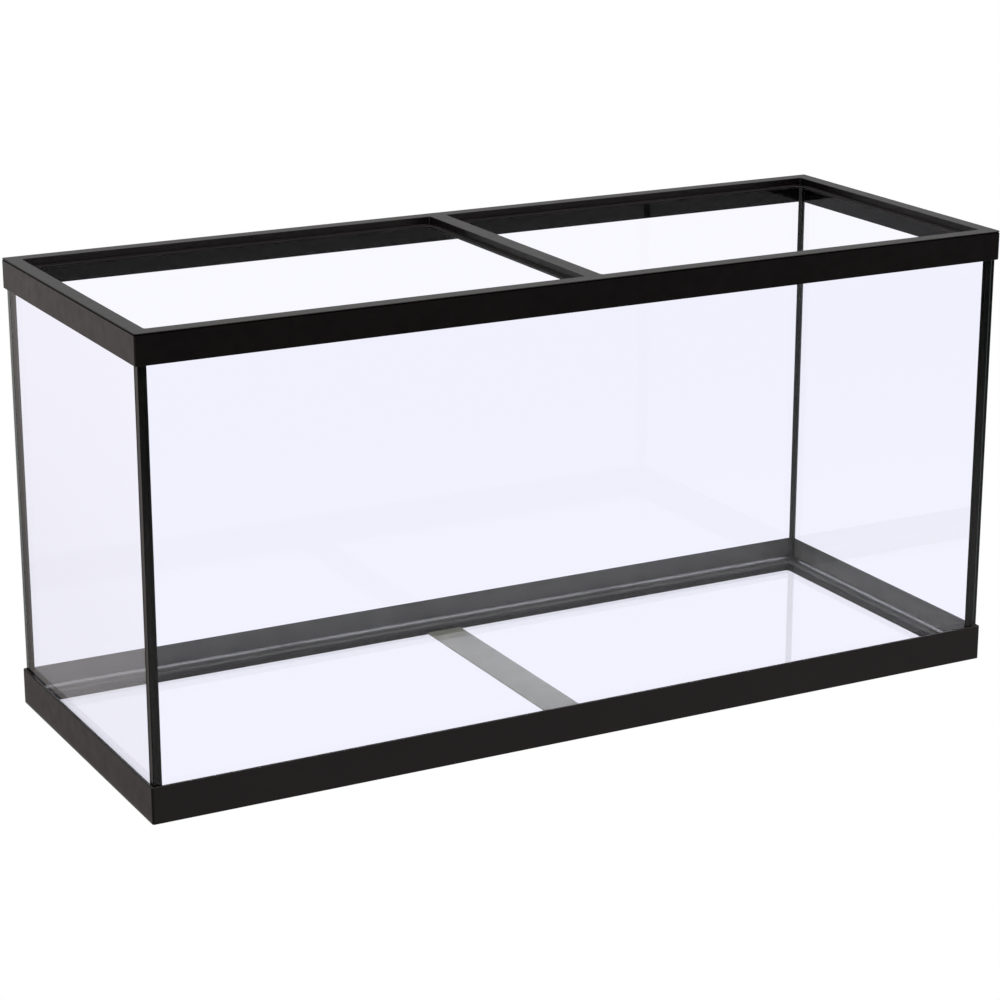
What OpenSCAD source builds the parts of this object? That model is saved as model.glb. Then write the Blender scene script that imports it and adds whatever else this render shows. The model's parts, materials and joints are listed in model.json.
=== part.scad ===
// Framed glass aquarium: five panes bonded with black silicone, held between
// a moulded top frame with a centre brace and a moulded base frame with a
// cross strip. X runs along the tank, Y from front to back, Z up. The origin
// is the centre of the footprint, on the surface that the tank stands on.

/* [Glass] */
// Outside length of the glass box
glass_l = 1219; // [900:1:1830]
// Outside width of the glass box, front to back
glass_w = 457; // [300:1:610]
// Thickness of the four wall panes
wall_t = 10; // [6:0.5:12]
// Thickness of the bottom pane
floor_t = 10; // [6:0.5:15]

/* [Silicone] */
// Thickness of the silicone between a pane and its neighbour
joint_t = 1; // [0.5:0.25:2]
// Leg of the sealing bead inside each corner
bead_leg = 4; // [3:0.5:5.5]
// Radius of the hollow face of a sealing bead
bead_hollow_r = 4.5; // [4.5:0.5:14]
// Thickness of a sealing bead along its edges
bead_edge_t = 0.3; // [0.2:0.1:0.6]

/* [Frames] */
// Overall height, from the stand to the top of the rim
tank_h = 605; // [400:1:760]
// Wall thickness of both skirts
skirt_t = 3; // [2:0.25:4]
// Radius of the vertical outer corners
corner_r = 3; // [1:0.5:6]

/* [Top frame] */
// Height of the top skirt
top_skirt_h = 39; // [25:1:60]
// Width of the flat rim
rim_w = 20; // [18:0.5:26]
// Thickness of the rim
rim_t = 4; // [2.5:0.25:5]
// Depth of the lid recess, from the rim to the ledge
recess_h = 10.5; // [8:0.25:16]
// Width of the lid ledge
ledge_w = 7; // [5:0.5:12]
// Thickness of the lid ledge
ledge_t = 2.75; // [2:0.25:4]
// Wall thickness of the recess
recess_wall_t = 3; // [2:0.25:3]
// Corner radius of the lid ledge
ledge_r = 12; // [6:1:20]
// Corner radius of the recess
recess_r = 3; // [1:0.5:6]
// Width of the centre brace at the rim
brace_w = 24; // [16:1:60]

/* [Base frame] */
// Height of the base skirt
base_skirt_h = 48; // [30:1:70]
// Distance from the outside of the skirt to the opening underneath
base_rail_w = 29; // [24:1:45]
// Height of the ledge that carries the glass
base_ledge_h = 9; // [6:0.5:15]
// Thickness of the ledge and of the flange below its inner edge
base_web_t = 3; // [2:0.25:4]
// Corner radius of the opening underneath
base_opening_r = 6; // [2:1:12]
// Width of the cross strip
strip_w = 51; // [30:1:100]
// Thickness of the cross strip
strip_t = 3; // [2:0.25:4]

/* [Hidden] */
$fn = 64;

// The skirts stand off the glass by one silicone joint.
inset = skirt_t + joint_t;
tank_l = glass_l + 2 * inset;
tank_w = glass_w + 2 * inset;

// Heights of the panes
pane_z0 = base_ledge_h + joint_t;
pane_z1 = tank_h - rim_t - joint_t;
pane_h = pane_z1 - pane_z0;
floor_z = pane_z0 + floor_t;

// Distances inward from the outside of the skirts
pane_in = inset + wall_t;
recess_wall_in = rim_w - recess_wall_t;
ledge_in = rim_w + ledge_w;

// Heights inside the top frame
ledge_z = tank_h - recess_h;
ledge_z0 = ledge_z - ledge_t;
top_skirt_z0 = tank_h - top_skirt_h;

// Half widths of the brace
brace_half = brace_w / 2;
brace_ledge_half = brace_half + ledge_w;
brace_hollow_half = brace_half - recess_wall_t;

// Clear inside of the glass box, half sizes
inside_x = glass_l / 2 - wall_t;
inside_y = glass_w / 2 - wall_t;

black = [0.06, 0.06, 0.06];
silicone_black = [0.03, 0.03, 0.035];
light_grey = [0.66, 0.67, 0.65];
clear_glass = [0.82, 0.86, 0.95, 0.35];
past = 1; // how far a cutting solid runs past what it cuts

// ---- Outlines ----

// Rectangle with true round corners
module round_rect(l, w, r) {
    square([l - 2 * r, w], center = true);
    square([l, w - 2 * r], center = true);
    for (sx = [-1, 1], sy = [-1, 1])
        translate([sx * (l / 2 - r), sy * (w / 2 - r)]) circle(r);
}

// Outside of the tank in plan
module tank_outline() {
    round_rect(tank_l, tank_w, corner_r);
}

// Sharp-cornered outline, a distance inward from the outside of the skirts
module inner_outline(d) {
    square([tank_l - 2 * d, tank_w - 2 * d], center = true);
}

// The two openings either side of the brace, d inward from the outside
module lid_openings(d, half_brace, r) {
    opening_l = tank_l / 2 - d - half_brace;
    for (s = [-1, 1])
        translate([s * (half_brace + opening_l / 2), 0])
            round_rect(opening_l, tank_w - 2 * d, r);
}

// Hollow-faced bead section in the corner of the first quadrant
module bead_section() {
    c = (bead_leg + bead_edge_t + sqrt(2 * pow(bead_hollow_r, 2) - pow(bead_leg - bead_edge_t, 2))) / 2;
    difference() {
        square(bead_leg);
        translate([c, c]) circle(bead_hollow_r);
    }
}

// Extrudes an outline from z0 up to z1
module slab(z0, z1) {
    translate([0, 0, z0]) linear_extrude(z1 - z0) children();
}

// ---- Mitres ----

// Plan region of a long rail: side -1 is the front, 1 the back
module long_wedge(side) {
    slab(-past, tank_h + past)
        polygon([
            [-tank_l / 2, side * tank_w / 2], [tank_l / 2, side * tank_w / 2],
            [tank_l / 2 - tank_w / 2, 0], [tank_w / 2 - tank_l / 2, 0],
        ]);
}

// Plan region of a short rail: side -1 is the left, 1 the right
module short_wedge(side) {
    slab(-past, tank_h + past)
        polygon([
            [side * tank_l / 2, -tank_w / 2], [side * tank_l / 2, tank_w / 2],
            [side * (tank_l / 2 - tank_w / 2), 0],
        ]);
}

// ---- Top frame ----

module top_moulding() {
    // Skirt
    slab(top_skirt_z0, tank_h - rim_t)
        difference() {
            tank_outline();
            inner_outline(skirt_t);
        }
    // Rim
    slab(tank_h - rim_t, tank_h)
        difference() {
            tank_outline();
            lid_openings(rim_w, brace_half, recess_r);
        }
    // Recess wall, hollow inside the brace
    slab(ledge_z, tank_h - rim_t)
        difference() {
            inner_outline(recess_wall_in);
            lid_openings(rim_w, brace_half, recess_r);
            square([2 * brace_hollow_half, tank_w - 2 * rim_w], center = true);
        }
    // Lid ledge
    slab(ledge_z0, ledge_z)
        difference() {
            inner_outline(recess_wall_in);
            lid_openings(ledge_in, brace_ledge_half, ledge_r);
            square([2 * brace_hollow_half, tank_w - 2 * ledge_in], center = true);
        }
}

// The part of the top moulding that crosses the tank, wider at the ledge
module brace_zone() {
    rim_zone = 2 * (brace_half + recess_r);
    ledge_zone = 2 * (brace_ledge_half + ledge_r);
    slab(ledge_z, tank_h + past)
        square([rim_zone, tank_w - 2 * rim_w], center = true);
    slab(ledge_z0 - past, ledge_z)
        square([ledge_zone, tank_w - 2 * rim_w], center = true);
}

module top_long_rail(side) {
    color(black)
        difference() {
            intersection() {
                top_moulding();
                long_wedge(side);
            }
            brace_zone();
        }
}

module top_short_rail(side) {
    color(black)
        intersection() {
            top_moulding();
            short_wedge(side);
        }
}

module top_front_rail() { top_long_rail(-1); }
module top_back_rail() { top_long_rail(1); }
module top_left_rail() { top_short_rail(-1); }
module top_right_rail() { top_short_rail(1); }

module top_center_brace() {
    color(black)
        intersection() {
            top_moulding();
            brace_zone();
        }
}

// ---- Base frame ----

module base_moulding() {
    // Skirt
    slab(0, base_skirt_h)
        difference() {
            tank_outline();
            inner_outline(skirt_t);
        }
    // Ledge under the glass
    slab(base_ledge_h - base_web_t, base_ledge_h)
        difference() {
            inner_outline(skirt_t);
            base_opening();
        }
    // Flange that carries the ledge on the stand
    slab(0, base_ledge_h - base_web_t)
        difference() {
            inner_outline(base_rail_w - base_web_t);
            base_opening();
        }
}

module base_opening() {
    round_rect(tank_l - 2 * base_rail_w, tank_w - 2 * base_rail_w, base_opening_r);
}

module base_long_rail(side) {
    color(black)
        intersection() {
            base_moulding();
            long_wedge(side);
        }
}

module base_short_rail(side) {
    color(black)
        intersection() {
            base_moulding();
            short_wedge(side);
        }
}

module base_front_rail() { base_long_rail(-1); }
module base_back_rail() { base_long_rail(1); }
module base_left_rail() { base_short_rail(-1); }
module base_right_rail() { base_short_rail(1); }

// Ties the two long flanges together, flush with the underside.
module base_cross_strip() {
    color(light_grey)
        slab(0, strip_t)
            square([strip_w, tank_w - 2 * base_rail_w], center = true);
}

// ---- Glass ----

// Front and back panes run the whole length of the glass box.
module long_pane(side) {
    color(clear_glass)
        translate([0, side * (glass_w - wall_t) / 2, pane_z0 + pane_h / 2])
            cube([glass_l, wall_t, pane_h], center = true);
}

// Side panes stand between them, one joint short at each end.
module short_pane(side) {
    color(clear_glass)
        translate([side * (glass_l - wall_t) / 2, 0, pane_z0 + pane_h / 2])
            cube([wall_t, 2 * (inside_y - joint_t), pane_h], center = true);
}

module front_pane() { long_pane(-1); }
module back_pane() { long_pane(1); }
module left_pane() { short_pane(-1); }
module right_pane() { short_pane(1); }

// The bottom pane lies inside the walls, on the base ledge.
module bottom_pane() {
    color(clear_glass)
        translate([0, 0, pane_z0 + floor_t / 2])
            cube([2 * (inside_x - joint_t), 2 * (inside_y - joint_t), floor_t], center = true);
}

// ---- Silicone ----

// Structural joint between a long pane and the end of a side pane
module corner_joint(sx, sy) {
    color(silicone_black)
        translate([sx * (glass_l - wall_t) / 2, sy * (inside_y - joint_t / 2), pane_z0 + pane_h / 2])
            cube([wall_t, joint_t, pane_h], center = true);
}

module joint_front_left() { corner_joint(-1, -1); }
module joint_front_right() { corner_joint(1, -1); }
module joint_back_left() { corner_joint(-1, 1); }
module joint_back_right() { corner_joint(1, 1); }

// Structural joint all round the edge of the bottom pane
module bottom_joint() {
    color(silicone_black)
        slab(pane_z0, floor_z)
            difference() {
                square([2 * inside_x, 2 * inside_y], center = true);
                square([2 * (inside_x - joint_t), 2 * (inside_y - joint_t)], center = true);
            }
}

// Side view of a bar of bead along X, mitred at both ends
module bar_outline(l) {
    reach = bead_leg + past;
    polygon([
        [-l / 2 - past, -past], [l / 2 + past, -past],
        [l / 2 - reach, reach], [reach - l / 2, reach],
    ]);
}

// Bar of bead along X, in the corner where +Y meets +Z. Each end is mitred
// both ways, because three bars meet in a corner of the tank.
module bead_bar(l) {
    reach = bead_leg + past;
    intersection() {
        rotate([90, 0, 90])
            translate([0, 0, -l / 2])
                linear_extrude(l) bead_section();
        slab(-past, reach) bar_outline(l);
        rotate([90, 0, 0])
            slab(-reach, past) bar_outline(l);
    }
}

// Sealing bead up an inside corner, from the floor to the lid ledge. It is
// the lower half of a bar that is twice as long.
module corner_bead(sx, sy) {
    color(silicone_black)
        intersection() {
            translate([sx * inside_x, sy * inside_y, ledge_z0])
                mirror([sx > 0 ? 1 : 0, 0])
                    mirror([0, sy > 0 ? 1 : 0])
                        rotate([0, 90, 0])
                            bead_bar(2 * (ledge_z0 - floor_z));
            slab(0, ledge_z0) tank_outline();
        }
}

module corner_bead_front_left() { corner_bead(-1, -1); }
module corner_bead_front_right() { corner_bead(1, -1); }
module corner_bead_back_left() { corner_bead(-1, 1); }
module corner_bead_back_right() { corner_bead(1, 1); }

// Sealing bead along the foot of a long wall
module bottom_long_bead(side) {
    color(silicone_black)
        translate([0, side * inside_y, floor_z])
            rotate(side > 0 ? 180 : 0)
                bead_bar(2 * inside_x);
}

// Sealing bead along the foot of a side wall
module bottom_short_bead(side) {
    color(silicone_black)
        translate([side * inside_x, 0, floor_z])
            rotate(side > 0 ? 90 : -90)
                bead_bar(2 * inside_y);
}

module bottom_bead_front() { bottom_long_bead(-1); }
module bottom_bead_back() { bottom_long_bead(1); }
module bottom_bead_left() { bottom_short_bead(-1); }
module bottom_bead_right() { bottom_short_bead(1); }

// Fills the channel of the top frame round the pane edges
module top_frame_bond() {
    color(silicone_black) {
        // Outside of the glass
        slab(top_skirt_z0, pane_z1)
            difference() {
                inner_outline(skirt_t);
                inner_outline(inset);
            }
        // Over the pane edges
        slab(pane_z1, tank_h - rim_t)
            difference() {
                inner_outline(skirt_t);
                inner_outline(recess_wall_in);
            }
        // Inside of the glass
        slab(ledge_z0, pane_z1)
            difference() {
                inner_outline(pane_in);
                inner_outline(recess_wall_in);
            }
    }
}

// Beds the glass on the base ledge and in the base skirt
module base_frame_bond() {
    color(silicone_black) {
        slab(base_ledge_h, pane_z0)
            difference() {
                inner_outline(skirt_t);
                inner_outline(base_rail_w - base_web_t);
            }
        slab(pane_z0, base_skirt_h)
            difference() {
                inner_outline(skirt_t);
                inner_outline(inset);
            }
    }
}

front_pane();
back_pane();
left_pane();
right_pane();
bottom_pane();
top_front_rail();
top_back_rail();
top_left_rail();
top_right_rail();
top_center_brace();
base_front_rail();
base_back_rail();
base_left_rail();
base_right_rail();
base_cross_strip();
joint_front_left();
joint_front_right();
joint_back_left();
joint_back_right();
bottom_joint();
corner_bead_front_left();
corner_bead_front_right();
corner_bead_back_left();
corner_bead_back_right();
bottom_bead_front();
bottom_bead_back();
bottom_bead_left();
bottom_bead_right();
top_frame_bond();
base_frame_bond();
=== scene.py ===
"""Looks for a framed glass aquarium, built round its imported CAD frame.

The two black frames are moulded plastic with rounded edges, the panes are float
glass with arrissed edges, and the silicone is laid and smoothed by hand.
"""

import json
import math
from functools import cache

import bmesh
import bpy
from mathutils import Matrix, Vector, noise


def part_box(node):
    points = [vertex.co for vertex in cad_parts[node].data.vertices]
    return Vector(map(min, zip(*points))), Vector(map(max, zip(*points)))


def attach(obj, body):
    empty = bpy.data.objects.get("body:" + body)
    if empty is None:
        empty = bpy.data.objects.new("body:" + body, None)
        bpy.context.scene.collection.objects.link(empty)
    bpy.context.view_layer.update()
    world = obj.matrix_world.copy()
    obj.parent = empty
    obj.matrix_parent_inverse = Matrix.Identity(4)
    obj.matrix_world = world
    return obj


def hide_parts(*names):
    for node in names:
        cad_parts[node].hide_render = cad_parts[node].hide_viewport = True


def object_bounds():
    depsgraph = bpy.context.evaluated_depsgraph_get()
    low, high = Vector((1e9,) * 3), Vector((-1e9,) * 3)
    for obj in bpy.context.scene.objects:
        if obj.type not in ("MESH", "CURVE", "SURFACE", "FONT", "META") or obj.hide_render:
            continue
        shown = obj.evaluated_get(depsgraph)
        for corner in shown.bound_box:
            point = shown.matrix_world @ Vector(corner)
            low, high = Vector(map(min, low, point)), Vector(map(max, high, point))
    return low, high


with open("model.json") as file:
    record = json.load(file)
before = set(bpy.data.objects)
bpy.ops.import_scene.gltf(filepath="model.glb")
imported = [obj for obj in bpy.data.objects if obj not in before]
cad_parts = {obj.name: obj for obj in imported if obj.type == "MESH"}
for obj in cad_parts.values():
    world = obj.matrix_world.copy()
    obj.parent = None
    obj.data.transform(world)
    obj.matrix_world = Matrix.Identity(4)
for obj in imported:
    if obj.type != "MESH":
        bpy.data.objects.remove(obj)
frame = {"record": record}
cad_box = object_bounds()

MM = 0.001
BODY = "root"
X, Y, Z = 0, 1, 2

# ---- Places, read from the CAD boxes. An inset is a distance in from the skirts ----

HALF_L = cad_box[1].x
HALF_W = cad_box[1].y
RIM_Z = cad_box[1].z

PANE_LO, PANE_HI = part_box("front_pane")
GLASS_INSET = HALF_L - PANE_HI.x
PANE_T = PANE_HI.y - PANE_LO.y
PANE_IN = GLASS_INSET + PANE_T

FLOOR_LO, FLOOR_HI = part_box("bottom_pane")
FLOOR_Z0 = FLOOR_LO.z
FLOOR_Z = FLOOR_HI.z
FLOOR_IN = HALF_L - FLOOR_HI.x

BRACE_LO, BRACE_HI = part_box("top_center_brace")
TOP_BOND_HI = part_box("top_frame_bond")[1]
SKIRT_T = HALF_L - TOP_BOND_HI.x
RIM_Z0 = TOP_BOND_HI.z
RIM_W = HALF_W - BRACE_HI.y
LEDGE_Z0 = BRACE_LO.z
LEDGE_Z = next(m["pos_m"][2] for m in frame["record"]["mounts"] if m["name"] == "left_lid_ledge")
TOP_SKIRT_Z0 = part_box("top_front_rail")[0].z

STRIP_LO, STRIP_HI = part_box("base_cross_strip")
BASE_SKIRT_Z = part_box("base_front_rail")[1].z
BASE_RAIL_W = HALF_W - STRIP_HI.y
BASE_LEDGE_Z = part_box("base_frame_bond")[0].z

# ---- Sizes that the boxes don't give ----

RECESS_WALL_T = 3 * MM
LEDGE_W = 7 * MM
LEDGE_R = 12 * MM
RECESS_R = 3 * MM
BRACE_HALF = BRACE_HI.x - LEDGE_W - LEDGE_R
CORNER_R = 3 * MM
BASE_WEB_T = 3 * MM
BASE_OPENING_R = 6 * MM
BASE_FLANGE_IN = BASE_RAIL_W - BASE_WEB_T
BEAD_LEG = 4 * MM
BEAD_HOLLOW_R = 4.5 * MM
BEAD_EDGE_T = 0.3 * MM

SHARP_R = 0.2 * MM  # plan radius of a corner that looks sharp
CORNER_STEPS = 8
ARC_STEPS = 3
CONTACT = 0.05 * MM  # how far silicone is sunk into glass, so that no air is left between
WHOLE_FACES = 100  # weighs a smoothed edge's normals by the large faces beside it


# ---- Outlines ----


def fillet(corners, closed=False):
    """A polyline with its corners rounded. Each corner is (u, v, radius)."""
    points = [Vector(c[:2]) for c in corners]
    out = []
    for i, (point, corner) in enumerate(zip(points, corners)):
        radius = corner[2]
        is_end = not closed and i in (0, len(points) - 1)
        if is_end or radius == 0:
            out.append(point)
            continue
        before = (points[i - 1] - point).normalized()
        after = (points[(i + 1) % len(points)] - point).normalized()
        half_angle = before.angle(after) / 2
        centre = point + (before + after).normalized() * radius / math.sin(half_angle)
        reach = radius / math.tan(half_angle)
        first = point + before * reach - centre
        last = point + after * reach - centre
        for step in range(ARC_STEPS + 1):
            way = first.lerp(last, step / ARC_STEPS).normalized()
            out.append(centre + way * radius)
    return out


def rect_loop(half_x, half_y, radius, centre_x=0, side_steps=(1, 1)):
    """Rounded rectangle in plan, anticlockwise. side_steps cuts up its sides along X and Y."""
    corners = []
    for quarter, (sx, sy) in enumerate(((1, 1), (-1, 1), (-1, -1), (1, -1))):
        corner = []
        for step in range(CORNER_STEPS + 1):
            angle = (quarter + step / CORNER_STEPS) * math.pi / 2
            x = sx * (half_x - radius) + radius * math.cos(angle)
            y = sy * (half_y - radius) + radius * math.sin(angle)
            corner.append(Vector((centre_x + x, y)))
        corners.append(corner)
    out = []
    for i, corner in enumerate(corners):
        out += corner
        following = corners[(i + 1) % 4][0]
        count = side_steps[i % 2]
        out += [corner[-1].lerp(following, k / count) for k in range(1, count)]
    return out


def skirt_loop(inset, radius):
    """Plan loop at an inset from the outside of the skirts."""
    return rect_loop(HALF_L - inset, HALF_W - inset, radius)


# ---- Meshes ----


class Shell:
    """A closed mesh that is made of loops of points and the faces between them."""

    def __init__(self):
        self.bm = bmesh.new()

    def loop(self, points):
        return [self.bm.verts.new(p) for p in points]

    def level(self, outline, z):
        return self.loop([(p.x, p.y, z) for p in outline])

    def bands(self, loops, closed=False):
        """Joins each loop to the next, and the last to the first if closed."""
        pairs = list(zip(loops, loops[1:]))
        if closed:
            pairs.append((loops[-1], loops[0]))
        for a, b in pairs:
            for i in range(len(a)):
                j = (i + 1) % len(a)
                self.bm.faces.new((a[i], a[j], b[j], b[i]))

    def mark(self, first_loop, second_loop, material_index):
        """Gives the faces between two joined loops another material."""
        rim = set(first_loop) | set(second_loop)
        for vert in first_loop:
            for face in vert.link_faces:
                if rim.issuperset(face.verts):
                    face.material_index = material_index

    def fill(self, *loops):
        """Fills the flat region inside the first loop and outside the others."""
        edges = [self.bm.edges.get((a[i - 1], a[i])) for a in loops for i in range(len(a))]
        bmesh.ops.triangle_fill(self.bm, edges=edges, use_beauty=True)

    def piece(self, name, materials, nodes, smooth=True):
        """Turns the shell into a piece that replaces CAD nodes and rides on the tank."""
        bmesh.ops.recalc_face_normals(self.bm, faces=self.bm.faces)
        mesh = bpy.data.meshes.new(name)
        self.bm.to_mesh(mesh)
        self.bm.free()
        mesh.polygons.foreach_set("use_smooth", [smooth] * len(mesh.polygons))
        for mat in materials:
            mesh.materials.append(mat)
        obj = bpy.data.objects.new(name, mesh)
        bpy.context.scene.collection.objects.link(obj)
        if smooth:
            weighted = obj.modifiers.new("weighted", "WEIGHTED_NORMAL")
            weighted.weight = WHOLE_FACES
        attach(obj, BODY)
        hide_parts(*nodes)
        return obj


# ---- Top frame ----

RIM_EDGE_R = 1.2 * MM
SKIRT_EDGE_R = 0.5 * MM
RECESS_EDGE_R = 0.8 * MM
FLAT_MARGIN = 2.5 * MM  # how far the flat top and underside reach before their edges round over
LINE_DROP = 1.3 * MM  # from the rim down to the fine line round the outside
LINE_W = 1.6 * MM
LINE_DEPTH = 1.3 * MM
LINE_SLOPE = 0.2 * MM
TOP_RAILS = ["top_front_rail", "top_back_rail", "top_left_rail", "top_right_rail"]


def well_loop(side, depth):
    """Plan loop in a lid opening, depth in from the recess. Its corners open out on the ledge."""
    half_x = (HALF_L - RIM_W - BRACE_HALF) / 2
    half_y = HALF_W - RIM_W
    share = min(max(depth / LEDGE_W, 0), 1)
    radius = RECESS_R + (LEDGE_R - RECESS_R) * share - min(depth, 0)
    return rect_loop(half_x - depth, half_y - depth, radius, side * (BRACE_HALF + half_x))


def outer_radius(inset):
    return max(CORNER_R - inset, SHARP_R)


def top_outside(shell):
    """Rim, fine line, skirt and glass channel, from the top of the rim to under the recess."""
    line_z1 = RIM_Z - LINE_DROP
    line_z0 = line_z1 - LINE_W
    profile = fillet(
        [
            (FLAT_MARGIN, RIM_Z, 0),
            (0, RIM_Z, RIM_EDGE_R),
            (0, line_z1, 0),
            (LINE_DEPTH, line_z1 - LINE_SLOPE, 0),
            (LINE_DEPTH, line_z0 + LINE_SLOPE, 0),
            (0, line_z0, 0),
            (0, TOP_SKIRT_Z0, SKIRT_EDGE_R),
            (SKIRT_T, TOP_SKIRT_Z0, SKIRT_EDGE_R),
            (SKIRT_T, RIM_Z0, 0),
            (RIM_W - RECESS_WALL_T, RIM_Z0, 0),
            (RIM_W - RECESS_WALL_T, LEDGE_Z0, 0),
        ]
    )
    loops = [shell.level(skirt_loop(p.x, outer_radius(p.x)), p.y) for p in profile]
    shell.bands(loops)
    for p, above, below in zip(profile, loops, loops[1:]):
        # Faces down in the fine line take material 1, the painted shade of the line.
        if line_z0 < p.y <= line_z1:
            shell.mark(above, below, 1)
    return loops


def lid_wells(shell):
    """The two lid openings, from the rim down the recess and over the ledge to its underside."""
    profile = fillet(
        [
            (-FLAT_MARGIN, RIM_Z, 0),
            (0, RIM_Z, RECESS_EDGE_R),
            (0, LEDGE_Z, SKIRT_EDGE_R),
            (LEDGE_W, LEDGE_Z, SKIRT_EDGE_R),
            (LEDGE_W, LEDGE_Z0, SKIRT_EDGE_R),
            (LEDGE_W - FLAT_MARGIN, LEDGE_Z0, 0),
        ]
    )
    wells = []
    for side in (-1, 1):
        well = [shell.level(well_loop(side, p.x), p.y) for p in profile]
        shell.bands(well)
        wells.append(well)
    return wells


def top_frame():
    shell = Shell()
    outer = top_outside(shell)
    wells = lid_wells(shell)
    hollow_outline = rect_loop(BRACE_HALF - RECESS_WALL_T, HALF_W - RIM_W - LEDGE_W, SHARP_R)
    hollow = [shell.level(hollow_outline, z) for z in (LEDGE_Z0, RIM_Z0)]
    shell.bands(hollow)

    shell.fill(outer[0], wells[0][0], wells[1][0])
    shell.fill(outer[-1], wells[0][-1], wells[1][-1], hollow[0])
    shell.fill(hollow[-1])
    # The second material is painted shade, laid in the fine line.
    materials = [frame_plastic(), line_shadow()]
    shell.piece("top_frame", materials, TOP_RAILS + ["top_center_brace"])


# ---- Base frame ----

BASE_RAILS = ["base_front_rail", "base_back_rail", "base_left_rail", "base_right_rail"]


def base_radius(inset):
    """Plan radius, which shrinks through the skirt and grows to the opening underneath."""
    if inset <= SKIRT_T:
        return outer_radius(inset)
    share = (inset - SKIRT_T) / (BASE_RAIL_W - SKIRT_T)
    return SHARP_R + (BASE_OPENING_R - SHARP_R) * share


def base_frame():
    shell = Shell()
    web_z0 = BASE_LEDGE_Z - BASE_WEB_T
    profile = fillet(
        [
            (0, 0, SKIRT_EDGE_R),
            (0, BASE_SKIRT_Z, RIM_EDGE_R),
            (SKIRT_T, BASE_SKIRT_Z, SKIRT_EDGE_R),
            (SKIRT_T, BASE_LEDGE_Z, 0),
            (BASE_RAIL_W, BASE_LEDGE_Z, SKIRT_EDGE_R),
            (BASE_RAIL_W, 0, SKIRT_EDGE_R),
            (BASE_FLANGE_IN, 0, SKIRT_EDGE_R),
            (BASE_FLANGE_IN, web_z0, SKIRT_EDGE_R),
            (SKIRT_T, web_z0, SKIRT_EDGE_R),
            (SKIRT_T, 0, SKIRT_EDGE_R),
        ],
        closed=True,
    )
    loops = [shell.level(skirt_loop(p.x, base_radius(p.x)), p.y) for p in profile]
    shell.bands(loops, closed=True)
    shell.piece("base_frame", [frame_plastic()], BASE_RAILS)


def cross_strip():
    shell = Shell()
    profile = fillet(
        [
            (FLAT_MARGIN, STRIP_LO.z, 0),
            (0, STRIP_LO.z, SKIRT_EDGE_R),
            (0, STRIP_HI.z, SKIRT_EDGE_R),
            (FLAT_MARGIN, STRIP_HI.z, 0),
        ]
    )
    loops = []
    for p in profile:
        outline = rect_loop(STRIP_HI.x - p.x, STRIP_HI.y - p.x, SHARP_R)
        loops.append(shell.level(outline, p.y))
    shell.bands(loops)
    shell.fill(loops[0])
    shell.fill(loops[-1])
    shell.piece("cross_strip", [strip_plastic()], ["base_cross_strip"])


# ---- Panes ----

ARRIS = 0.7 * MM
SQUARE_ON = 0.99  # how nearly a polished face's normal runs through the pane


def pane(node, thin_axis):
    """A pane with arrissed edges. Its faces are polished and its edges are ground."""
    low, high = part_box(node)
    shell = Shell()
    bmesh.ops.create_cube(shell.bm, size=1)
    for vert in shell.bm.verts:
        for axis in (X, Y, Z):
            vert.co[axis] = high[axis] if vert.co[axis] > 0 else low[axis]
    bmesh.ops.bevel(
        shell.bm, geom=shell.bm.edges, offset=ARRIS, segments=1, affect="EDGES", profile=0.5
    )
    shell.bm.normal_update()
    for face in shell.bm.faces:
        face.material_index = 0 if abs(face.normal[thin_axis]) > SQUARE_ON else 1
    shell.piece(node + "_glass", [pane_glass(), pane_edge()], [node], smooth=False)


# ---- Silicone ----

TOOLING_STEP = 12 * MM
TOOLING_WAVE = 0.18 * MM
TOOLING_SCALE = 14  # waves in the smoothed silicone, per metre
QUICK_SCALE = 5 * TOOLING_SCALE
QUICK_SHARE = 0.35  # of the quick waves, against the slow ones
WAVE_SEEDS = {"floor_width": 1, "corner_x": 3, "corner_y": 5, "floor_rise": 7, "joint": 9}
DRAWN_IN = 0.5 * MM  # how hollow the outer face of an upright joint is
HOLLOW_STEPS = 12
ON_WALL = 0.9998  # share of a half length beyond which a point lies on the wall
FLOOR_SEAL_GLOSS = 1.0
CORNER_SEAL_GLOSS = 0.25  # smoothed thinner and duller than the floor's


def waver(place, what):
    """How far hand-smoothed silicone wanders at a place, in metres."""
    seed = WAVE_SEEDS[what]
    slow = noise.noise(Vector(place) * TOOLING_SCALE + Vector((seed, 0, 0)))
    quick = noise.noise(Vector(place) * QUICK_SCALE + Vector((0, seed, 0)))
    return TOOLING_WAVE * (slow + QUICK_SHARE * quick)


def leg_share(distance):
    """0 where the silicone meets a wall, rising to 1 at the edge of a bead."""
    return max(distance, 0) / BEAD_LEG


def bead_profile():
    """Hollow bead section as (from one wall, from the other), sunk a little into both walls."""
    depth = math.sqrt(2 * BEAD_HOLLOW_R**2 - (BEAD_LEG - BEAD_EDGE_T) ** 2)
    centre = (BEAD_LEG + BEAD_EDGE_T + depth) / 2
    start = math.atan2(BEAD_EDGE_T - centre, BEAD_LEG - centre)
    stop = math.atan2(BEAD_LEG - centre, BEAD_EDGE_T - centre)
    points = [(-CONTACT, -CONTACT), (BEAD_LEG, -CONTACT)]
    for step in range(HOLLOW_STEPS + 1):
        angle = start + (stop - start) * step / HOLLOW_STEPS
        from_one = centre + BEAD_HOLLOW_R * math.cos(angle)
        from_other = centre + BEAD_HOLLOW_R * math.sin(angle)
        points.append((from_one, from_other))
    points.append((-CONTACT, BEAD_LEG))
    return points


def off_walls(at, half_x, half_y):
    """Which way leads off the walls that a point lies on: -1, 0 or 1 along X and along Y."""
    steps = []
    for value, half in ((at.x, half_x), (at.y, half_y)):
        on_wall = abs(value) > ON_WALL * half
        steps.append(-math.copysign(1, value) if on_wall else 0)
    return Vector(steps)


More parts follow.
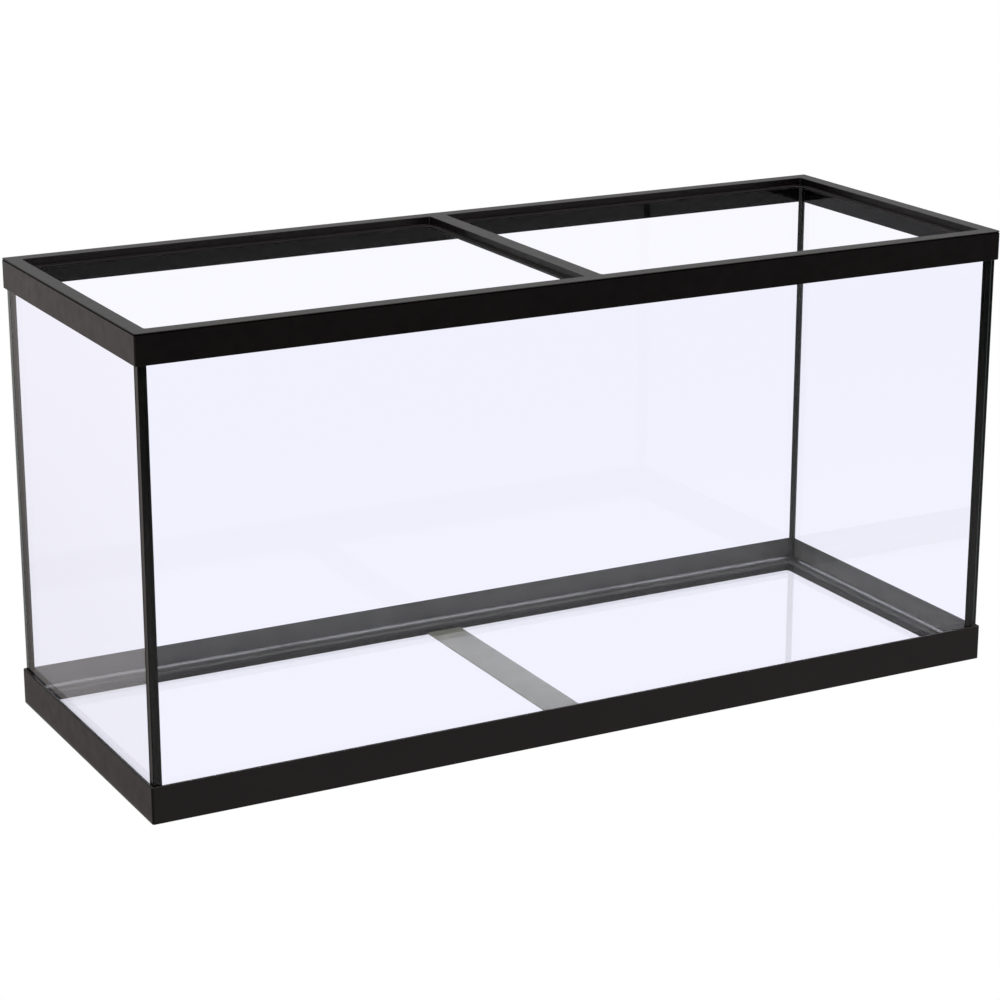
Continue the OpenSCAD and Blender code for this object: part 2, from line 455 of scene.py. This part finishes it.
def floor_seal():
    """The bead all round the floor, in one ring."""
    shell = Shell()
    half_x = HALF_L - PANE_IN
    half_y = HALF_W - PANE_IN
    steps = (round(2 * half_x / TOOLING_STEP), round(2 * half_y / TOOLING_STEP))
    guide = rect_loop(half_x, half_y, SHARP_R, side_steps=steps)
    loops = []
    for from_wall, above_floor in bead_profile():
        outline = rect_loop(half_x - from_wall, half_y - from_wall, SHARP_R, side_steps=steps)
        loop = []
        for point, at in zip(outline, guide):
            place = (at.x, at.y, 0)
            width = waver(place, "floor_width") * leg_share(from_wall)
            rise = waver(place, "floor_rise") * leg_share(above_floor)
            shifted = point + off_walls(at, half_x, half_y) * width
            loop.append((shifted.x, shifted.y, FLOOR_Z + above_floor + rise))
        loops.append(shell.loop(loop))
    shell.bands(loops, closed=True)
    shell.mark(loops[0], loops[1], 1)
    shell.mark(loops[-1], loops[0], 1)
    nodes = [f"bottom_bead_{side}" for side in ("front", "back", "left", "right")]
    materials = [silicone("floor_silicone", FLOOR_SEAL_GLOSS), bonded_silicone()]
    shell.piece("floor_seal", materials, nodes)


def corner_seal(where, sx, sy):
    """The bead up one inside corner, which runs down into the floor bead."""
    shell = Shell()
    low = FLOOR_Z + CONTACT
    count = round((LEDGE_Z0 - low) / TOOLING_STEP)
    loops = []
    for k in range(count + 1):
        z = low + (LEDGE_Z0 - low) * k / count
        place = (sx * HALF_L, sy * HALF_W, z)
        loop = []
        for from_side, from_end in bead_profile():
            x = HALF_L - PANE_IN - from_side - waver(place, "corner_x") * leg_share(from_side)
            y = HALF_W - PANE_IN - from_end - waver(place, "corner_y") * leg_share(from_end)
            loop.append((sx * x, sy * y, z))
        loops.append(shell.loop(loop))
    shell.bands(loops)
    rows = [list(row) for row in zip(*loops)]
    shell.mark(rows[0], rows[1], 1)
    shell.mark(rows[-1], rows[0], 1)
    shell.fill(loops[0])
    shell.fill(loops[-1])
    materials = [silicone("corner_silicone", CORNER_SEAL_GLOSS), bonded_silicone()]
    shell.piece(f"corner_seal_{where}", materials, [f"corner_bead_{where}"])


def corner_joint(where):
    """The upright joint between two panes, drawn in a little at its outer face."""
    shell = Shell()
    node = f"joint_{where}"
    low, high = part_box(node)
    sx = math.copysign(1, low.x)
    outer_x, inner_x = sorted((abs(low.x), abs(high.x)), reverse=True)
    near_y, far_y = low.y - CONTACT, high.y + CONTACT
    middle_y = (near_y + far_y) / 2
    face_x = outer_x - ARRIS / 2
    sunk_x = inner_x - BEAD_EDGE_T
    count = round((high.z - low.z) / TOOLING_STEP)
    loops = []
    for k in range(count + 1):
        z = low.z + (high.z - low.z) * k / count
        drawn_in = DRAWN_IN + waver((outer_x, middle_y, z), "joint")
        outline = [
            (sunk_x, near_y),
            (face_x, near_y),
            (face_x - drawn_in, middle_y),
            (face_x, far_y),
            (sunk_x, far_y),
        ]
        loops.append(shell.loop([(sx * x, y, z) for x, y in outline]))
    shell.bands(loops)
    shell.fill(loops[0])
    shell.fill(loops[-1])
    shell.piece(f"pane_joint_{where}", [bonded_silicone()], [node])


def silicone_ring(name, node, mat, corners):
    """Silicone of one section all round the tank. The corners of the section are (inset, z)."""
    shell = Shell()
    loops = [shell.level(skirt_loop(inset, SHARP_R), z) for inset, z in corners]
    shell.bands(loops, closed=True)
    shell.piece(name, [mat], [node])


def floor_joint():
    # The floor joint is painted as pale as the bed, a painted haze of reflected light in place of
    # its dark silicone.
    silicone_ring(
        "floor_joint",
        "bottom_joint",
        painted_haze_silicone(),
        [
            (PANE_IN - CONTACT, FLOOR_Z0),
            (FLOOR_IN + CONTACT, FLOOR_Z0),
            (FLOOR_IN + CONTACT, FLOOR_Z + CONTACT),
            (PANE_IN - CONTACT, FLOOR_Z + CONTACT),
        ],
    )


def top_bond():
    """Silicone that fills the channel of the top frame round the pane edges."""
    pane_z1 = PANE_HI.z
    silicone_ring(
        "top_frame_bed",
        "top_frame_bond",
        bonded_silicone(),
        [
            (SKIRT_T, TOP_SKIRT_Z0 + SKIRT_EDGE_R),
            (SKIRT_T, RIM_Z0),
            (RIM_W - RECESS_WALL_T, RIM_Z0),
            (RIM_W - RECESS_WALL_T, LEDGE_Z0),
            (PANE_IN - CONTACT, LEDGE_Z0),
            (PANE_IN - CONTACT, pane_z1 - CONTACT),
            (GLASS_INSET + CONTACT, pane_z1 - CONTACT),
            (GLASS_INSET + CONTACT, TOP_SKIRT_Z0 + SKIRT_EDGE_R),
        ],
    )


def base_bond():
    """Silicone under the panes and up the inside of the base skirt."""
    bed_z = FLOOR_Z0 + CONTACT
    # The bed is painted pale, a painted haze of the reflected light that lies over it through the
    # glass.
    silicone_ring(
        "base_frame_bed",
        "base_frame_bond",
        painted_haze_silicone(),
        [
            (SKIRT_T, BASE_LEDGE_Z),
            (BASE_FLANGE_IN, BASE_LEDGE_Z),
            (BASE_FLANGE_IN, bed_z),
            (GLASS_INSET + CONTACT, bed_z),
            (GLASS_INSET + CONTACT, BASE_SKIRT_Z - SKIRT_EDGE_R),
            (SKIRT_T, BASE_SKIRT_Z - SKIRT_EDGE_R),
        ],
    )


# ---- Materials ----

NOISE_MIDDLE = (0.3, 0.7)  # where nearly all of a noise's values lie
RAMP_MIDDLE = (0.35, 0.65)
GRAIN_H = 0.05 * MM  # height of the finest grain
NO_GLOSS = 0.02
PANE_IOR = 1.25  # softer mirror images than plain float glass, as through a polarising filter
JOINT_TONE = 0.007
PAINTED_HAZE_TONE = 0.084  # painted haze: far paler than black silicone, standing in for the veil of reflected light that the glass lays over the bed
BONDED_HUE = (1, 1, 0.9)
BONDED_MOTTLE = 1.2  # the palest bonded silicone against the darkest


def material(name):
    """A new material and its shader."""
    mat = bpy.data.materials.new(name)
    mat.use_nodes = True
    return mat, mat.node_tree.nodes["Principled BSDF"]


def add(mat, kind, **settings):
    """A node with its sockets or properties set."""
    node = mat.node_tree.nodes.new(kind)
    for key, value in settings.items():
        if key in node.inputs:
            node.inputs[key].default_value = value
        else:
            setattr(node, key, value)
    return node


def object_noise(mat, scale, detail):
    """Noise in the piece's own space, with a scale in waves per metre."""
    coords = add(mat, "ShaderNodeTexCoord")
    texture = add(mat, "ShaderNodeTexNoise", Scale=scale, Detail=detail)
    mat.node_tree.links.new(coords.outputs["Object"], texture.inputs["Vector"])
    return texture.outputs["Fac"]


def range_between(mat, value, low, high):
    """Runs from one number to the other over the middle of a noise."""
    ranged = add(mat, "ShaderNodeMapRange")
    ranged.inputs["From Min"].default_value = NOISE_MIDDLE[0]
    ranged.inputs["From Max"].default_value = NOISE_MIDDLE[1]
    ranged.inputs["To Min"].default_value = low
    ranged.inputs["To Max"].default_value = high
    mat.node_tree.links.new(value, ranged.inputs["Value"])
    return ranged.outputs["Result"]


def colour_between(mat, value, dark, pale):
    """Runs from one colour to the other over the middle of a noise."""
    ramp = add(mat, "ShaderNodeValToRGB")
    for element, place, colour in zip(ramp.color_ramp.elements, RAMP_MIDDLE, (dark, pale)):
        element.position = place
        element.color = (*colour, 1)
    mat.node_tree.links.new(value, ramp.inputs["Fac"])
    return ramp.outputs["Color"]


def bump(mat, layers):
    """Bumps laid over one another. Each is (waves per metre, detail, height, strength)."""
    normal = None
    for scale, detail, height, strength in layers:
        node = add(mat, "ShaderNodeBump", Distance=height, Strength=strength)
        mat.node_tree.links.new(object_noise(mat, scale, detail), node.inputs["Height"])
        if normal is not None:
            mat.node_tree.links.new(normal, node.inputs["Normal"])
        normal = node.outputs["Normal"]
    return normal


def textured(name, colours, mottle, roughness, wear, bumps, gloss):
    """A material that runs between two colours and two roughnesses, with bumps over it.

    mottle and wear are the noises that do so, as (waves per metre, detail).
    """
    mat, shader = material(name)
    link = mat.node_tree.links.new
    link(colour_between(mat, object_noise(mat, *mottle), *colours), shader.inputs["Base Color"])
    link(range_between(mat, object_noise(mat, *wear), *roughness), shader.inputs["Roughness"])
    link(bump(mat, bumps), shader.inputs["Normal"])
    shader.inputs["Specular IOR Level"].default_value = gloss
    return mat, shader


@cache
def frame_plastic():
    """Black moulded styrene: satin, finely grained, with faint moulding waves."""
    mat, shader = textured(
        "frame_plastic",
        colours=((0.001, 0.0007, 0.0007), (0.0022, 0.0016, 0.0015)),
        mottle=(9, 4),
        roughness=(0.29, 0.37),
        wear=(60, 5),
        bumps=[(9, 1, 0.6 * MM, 0.3), (1800, 3, GRAIN_H, 0.35)],
        gloss=0.16,
    )
    shader.inputs["Specular Tint"].default_value = (1, 0.93, 0.91, 1)
    return mat


@cache
def line_shadow():
    """Painted shade for the bottom of the fine line: near black and dull, with no gloss, so that
    the groove reads as a dark shadow line.
    """
    mat, _ = textured(
        "line_shadow",
        colours=((0.001, 0.001, 0.001), (0.003, 0.002, 0.002)),
        mottle=(30, 3),
        roughness=(0.8, 0.95),
        wear=(60, 3),
        bumps=[(1800, 3, GRAIN_H, 0.5)],
        gloss=NO_GLOSS,
    )
    return mat


@cache
def strip_plastic():
    """Pale grey moulded strip, slightly mottled."""
    mat, _ = textured(
        "strip_plastic",
        colours=((0.116, 0.119, 0.072), (0.158, 0.16, 0.105)),
        mottle=(26, 5),
        roughness=(0.42, 0.58),
        wear=(90, 4),
        bumps=[(1400, 3, GRAIN_H, 0.4)],
        gloss=0.35,
    )
    return mat


@cache
def silicone(name, gloss):
    """Cured black silicone: rubbery gloss over hand-smoothed ripples."""
    mat, _ = textured(
        name,
        colours=((0.003, 0.003, 0.003), (0.007, 0.007, 0.0065)),
        mottle=(40, 3),
        roughness=(0.12, 0.2),
        wear=(150, 4),
        bumps=[(150, 2, 0.15 * MM, 0.25)],
        gloss=gloss,
    )
    return mat


@cache
def bonded_silicone(name="bonded_silicone", tone=JOINT_TONE):
    """Silicone against glass or plastic, which wets it and leaves it almost no gloss."""
    dark = [tone * part for part in BONDED_HUE]
    pale = [BONDED_MOTTLE * part for part in dark]
    mat, _ = textured(
        name,
        colours=(dark, pale),
        mottle=(40, 3),
        roughness=(0.5, 0.65),
        wear=(150, 4),
        bumps=[(90, 2, GRAIN_H, 0.3)],
        gloss=NO_GLOSS,
    )
    return mat


# Bonded silicone painted pale: a painted haze of reflected light, as seen through the glass, on the
# base bed and the floor joint.
def painted_haze_silicone():
    return bonded_silicone("painted_haze_silicone", PAINTED_HAZE_TONE)


def glass(name, roughness, bumps):
    """Clear glass, and its shader."""
    mat, shader = material(name)
    mat.node_tree.links.new(bump(mat, bumps), shader.inputs["Normal"])
    shader.inputs["Transmission Weight"].default_value = 1
    shader.inputs["Roughness"].default_value = roughness
    shader.inputs["IOR"].default_value = PANE_IOR
    return mat, shader


@cache
def pane_glass():
    """Polished float glass with a faint cool tint and the slightest draw waves."""
    mat, shader = glass("pane_glass", roughness=0, bumps=[(5, 1, 0.02 * MM, 0.5)])
    shader.inputs["Base Color"].default_value = (0.945, 0.945, 1, 1)
    return mat


@cache
def pane_edge():
    """Seamed glass edge: finely ground, mottled and slightly green."""
    mat, shader = glass("pane_edge", roughness=0.12, bumps=[(900, 4, 0.03 * MM, 0.4)])
    dark, pale = (0.002, 0.0035, 0.003), (0.006, 0.009, 0.008)
    tone = colour_between(mat, object_noise(mat, 200, 3), dark, pale)
    mat.node_tree.links.new(tone, shader.inputs["Base Color"])
    return mat


# ---- Studio ----

WHITE = (1, 1, 1)
FLOOR_REACH = 40.0
FLOOR_DROP = 0.2 * MM  # so that the floor doesn't touch the underside
SHEET_Z = 1 * MM
SIDE_GAP = 1 * MM  # from the left skirt to the sheet beside it
TABLE_NEAR = -0.4  # in gloss, the white floor darkens from here towards the camera
TABLE_DARK = -1.9
TABLE_REACH = 8.0
LEFT_NEAR_GLOW = 0.5  # in gloss, how bright the floor is right beside the left pane
LEFT_FAR_GLOW = 0.82
LEFT_FADE = 0.7
WARM = (1, 0.91, 0.89)
WALL_R = 4.0  # a dimmer wall round the studio, as gloss sees it
WALL_H = 3.0
WALL_Z0 = 2 * MM
WALL_SIDES = 64
WALL_GLOW = 0.5
HORIZON_GLOW = 1.0
ZENITH_GLOW = 3.5
GLOW_FROM = 0.4  # sines of the elevations between which the glow rises
GLOW_TO = 0.62


def stage_object(name, bm):
    """A piece of the studio, which isn't part of the tank."""
    mesh = bpy.data.meshes.new(name)
    bm.to_mesh(mesh)
    bm.free()
    obj = bpy.data.objects.new(name, mesh)
    bpy.context.scene.collection.objects.link(obj)
    return obj


def sheet(name, low, high, z):
    """A flat stage sheet between two corners in plan."""
    bm = bmesh.new()
    corners = [(low[0], low[1]), (high[0], low[1]), (high[0], high[1]), (low[0], high[1])]
    bm.faces.new([bm.verts.new((x, y, z)) for x, y in corners])
    return stage_object(name, bm)


def glowing(obj, name, strength=1, colour=WHITE):
    """Gives a stage object a material that only glows, and returns it with its shader."""
    mat, shader = material(name)
    shader.inputs["Base Color"].default_value = (0, 0, 0, 1)
    shader.inputs["Specular IOR Level"].default_value = 0
    shader.inputs["Emission Color"].default_value = (*colour, 1)
    shader.inputs["Emission Strength"].default_value = strength
    obj.data.materials.append(mat)
    return mat, shader


def studio_floor():
    """A white floor that is lit evenly from within, so that it meets the background unseen."""
    low, high = (-FLOOR_REACH, -FLOOR_REACH), (FLOOR_REACH, FLOOR_REACH)
    glowing(sheet("floor", low, high, -FLOOR_DROP), "floor_white")


def only_in_gloss(obj):
    """Leaves a stage object to be mirrored by glossy surfaces, and otherwise not seen."""
    obj.visible_camera = False
    obj.visible_transmission = False
    obj.visible_shadow = False


def gloss_gradient(name, low, high, axis, near, far, colour=WHITE):
    """A sheet for gloss alone. Its glow runs along an axis, from (place, glow) to (place, glow)."""
    obj = sheet(name, low, high, SHEET_Z)
    mat, shader = glowing(obj, name, colour=colour)
    coords = add(mat, "ShaderNodeTexCoord")
    parts = add(mat, "ShaderNodeSeparateXYZ")
    ranged = add(mat, "ShaderNodeMapRange", interpolation_type="SMOOTHSTEP")
    ranged.inputs["From Min"].default_value, ranged.inputs["To Min"].default_value = near
    ranged.inputs["From Max"].default_value, ranged.inputs["To Max"].default_value = far
    mat.node_tree.links.new(coords.outputs["Object"], parts.inputs[0])
    mat.node_tree.links.new(parts.outputs[axis], ranged.inputs["Value"])
    mat.node_tree.links.new(ranged.outputs["Result"], shader.inputs["Emission Strength"])
    only_in_gloss(obj)


def gloss_sheets():
    """The floor in front falls off into the dark behind the camera, and dims beside the tank."""
    left_edge = -HALF_L - SIDE_GAP
    gloss_gradient(
        "front_falloff",
        (-TABLE_REACH, -TABLE_REACH),
        (TABLE_REACH, TABLE_NEAR),
        "Y",
        (TABLE_DARK, 0),
        (TABLE_NEAR, 1),
    )
    gloss_gradient(
        "left_shade",
        (-TABLE_REACH, TABLE_NEAR),
        (left_edge, TABLE_REACH),
        "X",
        (left_edge - LEFT_FADE, LEFT_FAR_GLOW),
        (left_edge, LEFT_NEAR_GLOW),
        WARM,
    )


def gloss_wall():
    """A round wall that keeps the gloss of the upright faces dim."""
    bm = bmesh.new()
    bmesh.ops.create_cone(
        bm, cap_ends=False, segments=WALL_SIDES, radius1=WALL_R, radius2=WALL_R, depth=WALL_H
    )
    bmesh.ops.translate(bm, verts=bm.verts, vec=(0, 0, WALL_H / 2 + WALL_Z0))
    wall = stage_object("dim_wall", bm)
    glowing(wall, "dim_wall", WALL_GLOW)
    only_in_gloss(wall)


def studio_light():
    """Even white surroundings that grow brighter overhead."""
    world = bpy.data.worlds.new("studio")
    bpy.context.scene.world = world
    world.use_nodes = True
    tree = world.node_tree
    coords = tree.nodes.new("ShaderNodeTexCoord")
    parts = tree.nodes.new("ShaderNodeSeparateXYZ")
    glow = tree.nodes.new("ShaderNodeMapRange")
    glow.interpolation_type = "SMOOTHSTEP"
    glow.inputs["From Min"].default_value = GLOW_FROM
    glow.inputs["From Max"].default_value = GLOW_TO
    glow.inputs["To Min"].default_value = HORIZON_GLOW
    glow.inputs["To Max"].default_value = ZENITH_GLOW
    tree.links.new(coords.outputs["Generated"], parts.inputs[0])
    tree.links.new(parts.outputs["Z"], glow.inputs["Value"])
    tree.links.new(glow.outputs["Result"], tree.nodes["Background"].inputs["Strength"])
    tree.nodes["Background"].inputs["Color"].default_value = (*WHITE, 1)


# ---- Camera ----

CAMERA_AZIMUTH = math.radians(-28.15)
CAMERA_ELEVATION = math.radians(17.06)
CAMERA_DISTANCE = 3.79
CAMERA_TARGET = Vector((-17.6 * MM, 0, 258.7 * MM))
CAMERA_LENS = 102.2
CAMERA_SENSOR = 36
CLEAR_BOUNCES = 32
GLOSS_BOUNCES = 8


def camera():
    data = bpy.data.cameras.new("camera")
    data.lens = CAMERA_LENS
    data.sensor_width = CAMERA_SENSOR
    obj = bpy.data.objects.new("camera", data)
    bpy.context.scene.collection.objects.link(obj)
    level = math.cos(CAMERA_ELEVATION)
    back = Vector(
        (
            math.sin(CAMERA_AZIMUTH) * level,
            -math.cos(CAMERA_AZIMUTH) * level,
            math.sin(CAMERA_ELEVATION),
        )
    )
    obj.location = CAMERA_TARGET + back * CAMERA_DISTANCE
    obj.rotation_mode = "QUATERNION"
    obj.rotation_quaternion = (-back).to_track_quat("-Z", "Y")
    bpy.context.scene.camera = obj


def light_paths():
    """Enough bounces for a view through four panes, and a plain tone curve."""
    cycles = bpy.context.scene.cycles
    cycles.max_bounces = CLEAR_BOUNCES
    cycles.transmission_bounces = CLEAR_BOUNCES
    cycles.transparent_max_bounces = CLEAR_BOUNCES
    cycles.glossy_bounces = GLOSS_BOUNCES
    bpy.context.scene.view_settings.view_transform = "Standard"


top_frame()
base_frame()
cross_strip()
for side in ("front", "back"):
    pane(f"{side}_pane", Y)
for side in ("left", "right"):
    pane(f"{side}_pane", X)
pane("bottom_pane", Z)
floor_seal()
for front_or_back, sy in (("front", -1), ("back", 1)):
    for left_or_right, sx in (("left", -1), ("right", 1)):
        corner_seal(f"{front_or_back}_{left_or_right}", sx, sy)
        corner_joint(f"{front_or_back}_{left_or_right}")
floor_joint()
top_bond()
base_bond()

studio_floor()
gloss_sheets()
gloss_wall()
studio_light()
camera()
light_paths()
